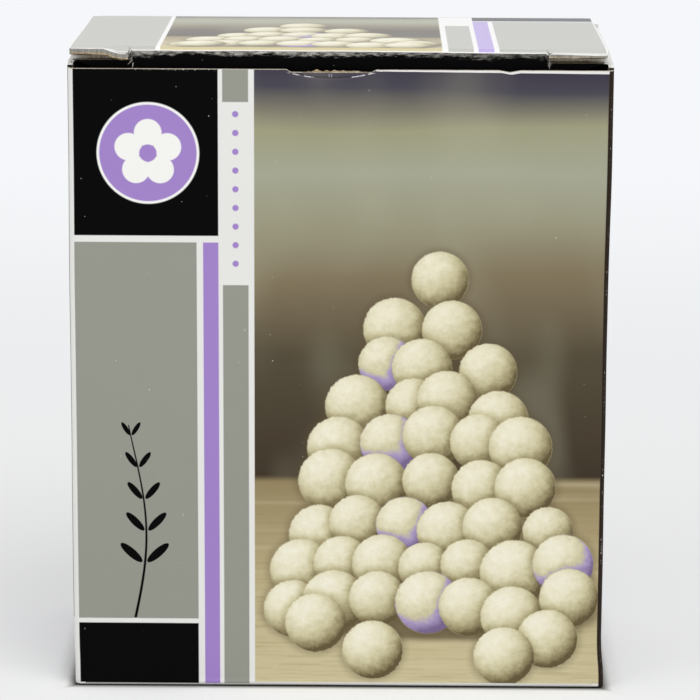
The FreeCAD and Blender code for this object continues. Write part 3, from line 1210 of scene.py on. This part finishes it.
def print_material(name, pictured):
    """Printed outer face of the body: the part with the picture, or the rest."""
    graph = Graph(name, 0.45, 0.035)
    place = graph.sheet()
    across, up, _ = graph.split(place)
    on_back = graph.step(across, back_start, back_start + 0.2)
    moved = graph.math("MULTIPLY", on_back, back_centre)
    local = graph.math("SUBTRACT", across, moved)
    panel = graph.vector("SUBTRACT", place, graph.join(moved, 0.0))
    colour = front_white
    for left, right, low, high, tone in (
        (left_border, stripe_right, black_low, bleed, black),
        (left_border, field_right, grey_low, grey_high, grey),
        (left_border, field_right, foot_low, foot_high, black),
        (stripe_left, stripe_right, foot_low, grey_high, lilac),
        (column_left, column_right, label_low, bleed, grey),
        (column_left, column_right, foot_low, column_top, grey),
    ):
        if in_part(pictured, left, right):
            colour = graph.mix(graph.field(panel, left, right, low, high), colour, tone)
    if pictured:
        loose = ((-0.72, 0.1), (-0.35, 0.055), (0.78, 0.075), (0.5, 0.045))
        edges = picture_left, picture_right, picture_low
        window = graph.field(panel, *edges, bleed)
        art = picture(graph, panel, *edges, front_height, loose)
        colour = graph.mix(window, colour, art)
    else:
        colour = flower(graph, panel, colour, (-54.7, 158.4), 14.6)
        colour = sprig(graph, panel, colour, (-59.5, 20.8), 58.0)
        for step in range(9):
            spot = ((column_left + column_right) / 2, 126.5 + 5.4 * step)
            colour = graph.mix(graph.disc(panel, spot, 0.9), colour, lilac)
    side_end = front_run / 2 + 2 * fold_length + side_run
    middle = front_run / 2 + fold_length + side_run / 2
    for left, right, low, high, tone in (
        (side_bleed, side_end - 1.2, -0.5, side_top, side_dark),
        (middle + 12.0, middle + 13.0, -0.5, side_top, white),
        (middle + 13.0, middle + 17.4, -0.5, side_top, lilac),
        (middle + 17.4, middle + 18.6, -0.5, side_top, white),
        (middle + 18.6, side_end - 2.4, -0.5, side_top, grey),
        (-side_end, -half_width - 0.25, grey_low, side_top, side_grey),
        (-side_end, -half_width - 2.4, foot_low, foot_high, black),
        (-middle - 17.4, -middle - 13.0, foot_low, side_top, lilac),
    ):
        if in_part(pictured, left, right):
            colour = graph.mix(graph.field(place, left, right, low, high), colour, tone)
    margin = graph.math("MULTIPLY_ADD", graph.scaled(local, 10.0, picture_right), -0.5, front_height - 0.35)
    border = graph.step(graph.math("SUBTRACT", up, margin), -0.06, 0.06)
    border = graph.math("MULTIPLY", border, graph.field(place, 10.0, picture_right, 170, bleed))
    colour = graph.mix(border, colour, front_white)
    fold_away = graph.math("ABSOLUTE", graph.math("SUBTRACT", graph.math("ABSOLUTE", local), 77.0))
    top_away = graph.math("ABSOLUTE", graph.math("SUBTRACT", up, front_height))
    nearest = graph.math("MINIMUM", fold_away, graph.math("MINIMUM", top_away, up))
    colour = rubbed(graph, place, nearest, colour)
    colour = specked(graph, place, colour)
    # Painted shade: a dark band along the bottom fold, standing in for the contact shadow under the carton's
    # foot.
    painted_foot_shade = graph.math("MULTIPLY_ADD", graph.step(local, -75.0, 0.0), -0.25, up)
    painted_foot_shade = graph.math("MULTIPLY", graph.step(painted_foot_shade, 0.6, 0.3), graph.step(up, -1.9, -1.4))
    painted_foot_shade = graph.math("MULTIPLY", painted_foot_shade, 0.9)
    colour = graph.mix(painted_foot_shade, colour, ink(34, 31, 27))
    half = thumb_width / 2
    rise = thumb_crease_drop - thumb_depth
    radius = (half**2 + rise**2) / (2 * rise)
    moon = graph.vector("SUBTRACT", panel, (thumb_middle, front_height - thumb_crease_drop + radius, 0))
    ring = graph.math("ABSOLUTE", graph.math("SUBTRACT", graph.vector("LENGTH", moon), radius - 0.15))
    dashes = graph.step(graph.noise(place, 2.2, 3.0, 0.6), 0.4, 0.5)
    unbroken = graph.field(panel, thumb_middle - 4.6, thumb_middle + 5.8, 0, bleed)
    dashes = graph.math("MULTIPLY", dashes, graph.math("SUBTRACT", 1.0, unbroken))
    zone = graph.field(place, thumb_middle - half, thumb_middle + half, front_height - 4, front_height - 0.9)
    crease = graph.math("MULTIPLY", graph.math("MULTIPLY", graph.step(ring, 0.22, 0.06), dashes), zone)
    colour = graph.mix(graph.math("MULTIPLY", crease, 0.9), colour, ink(222, 219, 226))
    for x in (-3.2, -2.5):
        tick = graph.field(panel, x - 0.1, x + 0.1, front_height - 2.2, front_height - 1.2, 0.08)
        colour = graph.mix(graph.math("MULTIPLY", tick, 0.7), colour, ink(190, 186, 196))
    paper = graph.noise(place, 0.6, 4.0, 0.6)
    wave = graph.noise(place, 9.0, 2.0)
    return graph.finish(colour, graph.math("ADD", graph.math("MULTIPLY", paper, 0.15), wave), 0.12)


def inside_material():
    """Unprinted inner face of the board."""
    graph = Graph("board_inside", 0.85, 0.2)
    place = graph.sheet()
    fibre = graph.noise(graph.vector("MULTIPLY", place, (1, 0.3, 1)), 0.9, 4.0, 0.65)
    colour = graph.mix(graph.step(fibre, 0.3, 0.7), liner_grey, kraft)
    return graph.finish(colour, fibre, 0.05)


def raw_material(name, split, dark, pale):
    """Cut edge of the board: liners, crushed flute and a dark line between them."""
    graph = Graph(name, 0.9, 0.1)
    place = graph.sheet()
    x, y, _ = graph.split(place)
    depth = graph.node("ShaderNodeAttribute", attribute_name="depth").outputs["Fac"]
    along = graph.math("ADD", x, y)
    wander = graph.scaled(graph.noise(place, 9.0, 2.0), 0.5, 5.0)
    wave = graph.math("MULTIPLY", graph.math("SINE", graph.math("MULTIPLY", along, 2 * pi / 3.2)), 0.03)
    middle = graph.math("ADD", graph.math("ADD", split, wave), wander)
    away = graph.math("SUBTRACT", depth, middle)
    fibre = graph.noise(place, 0.5, 3.0, 0.7)
    paper = graph.mix(graph.step(fibre, 0.3, 0.7), dark, pale)
    flute = graph.mix(graph.step(fibre, 0.35, 0.65), ink(150, 128, 98), ink(198, 182, 152))
    colour = graph.mix(graph.step(away, -0.16, -0.08), paper, flute)
    gap = graph.step(graph.math("ABSOLUTE", graph.math("SUBTRACT", away, 0.12)), 0.09, 0.04)
    broken = graph.step(graph.noise(place, 4.0, 2.0), 0.35, 0.5)
    colour = graph.mix(graph.math("MULTIPLY", gap, broken), colour, ink(58, 44, 32))
    colour = graph.mix(graph.step(away, 0.24, 0.3), colour, paper)
    side = graph.math("ABSOLUTE", x)
    fold = graph.math("MULTIPLY", graph.step(side, 77.5, 78.0), graph.step(y, 192.0, 188.0))
    fold = graph.math("MULTIPLY", fold, graph.step(y, 183.0, 184.0))
    colour = graph.mix(fold, colour, white)
    # Painted shade: the cut edges just above the front panel's top corners are dark, for the shadowed hollow
    # at each fold's corner.
    painted_corner_shade = graph.field(graph.join(side, y), 75.4, 80.0, front_height + 0.1, front_height + 1.3)
    colour = graph.mix(painted_corner_shade, colour, ink(40, 34, 28))
    height = graph.math("SUBTRACT", fibre, gap)
    return graph.finish(colour, height, 0.15)


def lid_material(name, roughness, specular, pictured):
    """Printed outer face of the lid, or of its tuck flap."""
    graph = Graph(name, roughness, specular)
    place = graph.sheet()
    x, y, _ = graph.split(place)
    colour = white
    rear = half_depth + 5
    for left, right, low, high, tone in (
        (-lid_half + 0.4, lid_picture_left - 1.3, lid_border, rear, lid_grey_painted_sheen),
        (lid_picture_left, lid_picture_right, lid_border, rear, table_front),
        (31, 38.2, lid_border, 16.7, lid_grey_painted_sheen),
        (39.5, 44, lid_border, 27.5, lid_lilac_painted_sheen),
        (45.4, lid_half - 0.4, lid_border, 27.5, lid_grey_painted_sheen),
        (39.5, lid_half - 0.4, 28.7, rear, lid_black_painted_sheen),
    ):
        colour = graph.mix(graph.field(place, left, right, low, high), colour, tone)
    loose = ((-0.8, 0.12), (0.85, 0.1))
    if pictured:
        edges = lid_picture_left, lid_picture_right, lid_border
        window = graph.field(place, *edges, rear)
        colour = graph.mix(window, colour, picture(graph, place, *edges, half_depth, loose))
    inner = slit_inner + 0.6
    colour = graph.mix(graph.field(place, -inner, inner, -90, black_start), colour, black)
    colour = graph.mix(graph.field(place, -90, 90, -90, lid_front - 0.4), colour, black)
    down = graph.scaled(y, black_start, black_start - 1.9)
    streaks = graph.noise(graph.vector("MULTIPLY", place, (0.3, 1, 1)), 0.9, 5.0, 0.75)
    clumps = graph.scaled(graph.noise(place, 11.0, 2.0), 0.5, 2.0)
    value = graph.math("SUBTRACT", graph.math("ADD", streaks, clumps), graph.math("MULTIPLY", down, 0.42))
    scuff = graph.math("MULTIPLY", graph.step(value, 0.16, 0.42), graph.step(down, -0.02, 0.04))
    worn_less = graph.math("MULTIPLY_ADD", graph.step(x, -10, 50), -0.55, 1.0)
    scuff = graph.math("MULTIPLY", scuff, worn_less)
    torn = graph.mix(graph.step(streaks, 0.35, 0.7), ink(84, 82, 78), ink(190, 187, 180))
    colour = graph.mix(graph.math("MULTIPLY", scuff, 0.85), colour, torn)
    side_away = graph.math("SUBTRACT", lid_half, graph.math("ABSOLUTE", x))
    colour = rubbed(graph, place, side_away, colour)
    colour = specked(graph, place, colour)
    wave = graph.noise(place, 12.0, 2.0)
    height = graph.math("ADD", wave, graph.math("MULTIPLY", scuff, graph.math("MULTIPLY", streaks, 1.2)))
    return graph.finish(colour, height, 0.12)


def crease_material():
    """Outer face at the rear crease."""
    graph = Graph("crease_print", 0.45, 0.3)
    place = graph.sheet()
    fibre = graph.noise(place, 0.8, 4.0, 0.7)
    colour = graph.mix(graph.step(fibre, 0.4, 0.7), ink(200, 200, 198), white)
    return graph.finish(colour)


def soft_lamp(name, place, size, power):
    """Square area lamp aimed at the carton."""
    data = bpy.data.lights.new(name, "AREA")
    data.size = size
    data.energy = power
    lamp = bpy.data.objects.new(name, data)
    aim = Vector((0, 0, 0.09)) - Vector(place)
    lamp.rotation_euler = aim.to_track_quat("-Z", "Y").to_euler()
    lamp.location = place
    bpy.context.scene.collection.objects.link(lamp)


def background_share(tree):
    """1 where a camera, glossy or transmission ray looks."""
    path = tree.nodes.new("ShaderNodeLightPath")
    found = path.outputs["Is Camera Ray"]
    for name in ("Is Glossy Ray", "Is Transmission Ray"):
        either = tree.nodes.new("ShaderNodeMath")
        either.operation = "MAXIMUM"
        tree.links.new(found, either.inputs[0])
        tree.links.new(path.outputs[name], either.inputs[1])
        found = either.outputs[0]
    return found


def studio():
    """Pale floor and room, with soft light at a plain level and a contact shadow painted on the floor round
    the carton.
    """
    scene = bpy.context.scene
    scene.view_settings.view_transform = "Standard"
    world = bpy.data.worlds.new("room")
    scene.world = world
    world.use_nodes = True
    nodes, links = world.node_tree.nodes, world.node_tree.links
    light = nodes["Background"]
    light.inputs["Color"].default_value = (1, 1, 1, 1)
    light.inputs["Strength"].default_value = 0.45
    seen = nodes.new("ShaderNodeBackground")
    seen.inputs["Color"].default_value = pale_room
    both = nodes.new("ShaderNodeMixShader")
    links.new(background_share(world.node_tree), both.inputs[0])
    links.new(light.outputs[0], both.inputs[1])
    links.new(seen.outputs[0], both.inputs[2])
    links.new(both.outputs[0], nodes["World Output"].inputs["Surface"])
    soft_lamp("key", (0.5, -0.9, 1.75), 1.3, 26)
    soft_lamp("fill", (-1.2, -0.9, 1.1), 1.2, 9)
    bpy.ops.mesh.primitive_plane_add(size=8.0)
    ground = bpy.context.object
    ground.name = "floor"
    graph = Graph("pale_floor", 0.9, 0.1)
    spot = graph.vector("ABSOLUTE", graph.node("ShaderNodeTexCoord").outputs["Object"])
    spot = graph.vector("SUBTRACT", spot, (half_width * MM, half_depth * MM, 0))
    x, y, _ = graph.split(spot)
    gone = graph.math("MAXIMUM", x, y)
    # Painted contact shadow: the floor's colour turns dark grey within a few mm of the carton's footprint.
    painted_contact_shadow = graph.step(gone, -0.0006, 0.0034)
    tone = graph.mix(painted_contact_shadow, ink(70, 68, 64), ink(228, 228, 226))
    graph.tree.links.new(tone, graph.shader.inputs["Base Color"])
    near = graph.math("MULTIPLY", graph.step(gone, 0.0, 0.008), 0.45)
    amount = graph.math("MULTIPLY_ADD", graph.step(gone, 0.03, 0.9), 0.55, near)
    amount = graph.math("MULTIPLY", amount, background_share(graph.tree))
    glow = graph.node("ShaderNodeEmission", {"Color": pale_room})
    blend = graph.node("ShaderNodeMixShader", {0: amount})
    graph.tree.links.new(graph.shader.outputs[0], blend.inputs[1])
    graph.tree.links.new(glow.outputs[0], blend.inputs[2])
    graph.tree.links.new(blend.outputs[0], graph.tree.nodes["Material Output"].inputs["Surface"])
    ground.data.materials.append(graph.material)


def camera():
    """Camera at the photograph's place and angle."""
    data = bpy.data.cameras.new("camera")
    data.sensor_width = 36.0
    data.lens = 175.82
    pitch, yaw, roll = radians(12.363), radians(0.508), radians(0.228)
    place = Vector((11.54, -1000.34, 312.10)) * MM
    turned = Matrix.Rotation(yaw, 4, "Z") @ Matrix.Rotation(pi / 2 - pitch, 4, "X")
    seen = bpy.data.objects.new("camera", data)
    seen.matrix_world = Matrix.Translation(place) @ turned @ Matrix.Rotation(roll, 4, "Z")
    bpy.context.scene.collection.objects.link(seen)
    bpy.context.scene.camera = seen


camera()
studio()
cotton_ball = cotton_group()
inside = inside_material()
cut_edge = raw_material("board_cut_edge", 0.55, ink(186, 178, 162), ink(232, 228, 218))
# The lid's cut edges get darker greys than the body's: painted shade of cut faces that look forward and down
# where the lid droops.
lid_edge_painted_shade = raw_material("lid_cut_edge_painted_shade", 0.8, ink(122, 120, 113), ink(154, 151, 143))
body = finished_object("printed_body", body_sheet(), [
    print_material("carton_print", False),
    inside,
    cut_edge,
    print_material("carton_picture", True),
])
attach(body, "carton")
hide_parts("carton_body")
lid = finished_object("printed_lid", lid_sheet(), [
    lid_material("lid_print", 0.36, 0.5, True),
    inside,
    lid_edge_painted_shade,
    lid_material("tuck_print", 0.5, 0.03, False),
])
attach(lid, "lid")
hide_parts("lid_flap")
crease = finished_object("rear_crease", crease_sheet(), [crease_material(), inside])
crease_start = Vector((0, half_depth, dust_top)) * MM
crease_end = Vector((0, hinge_y - crease_lap, lid_top)) * MM
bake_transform(crease, "carton", "lid", start=crease_start, end=crease_end)
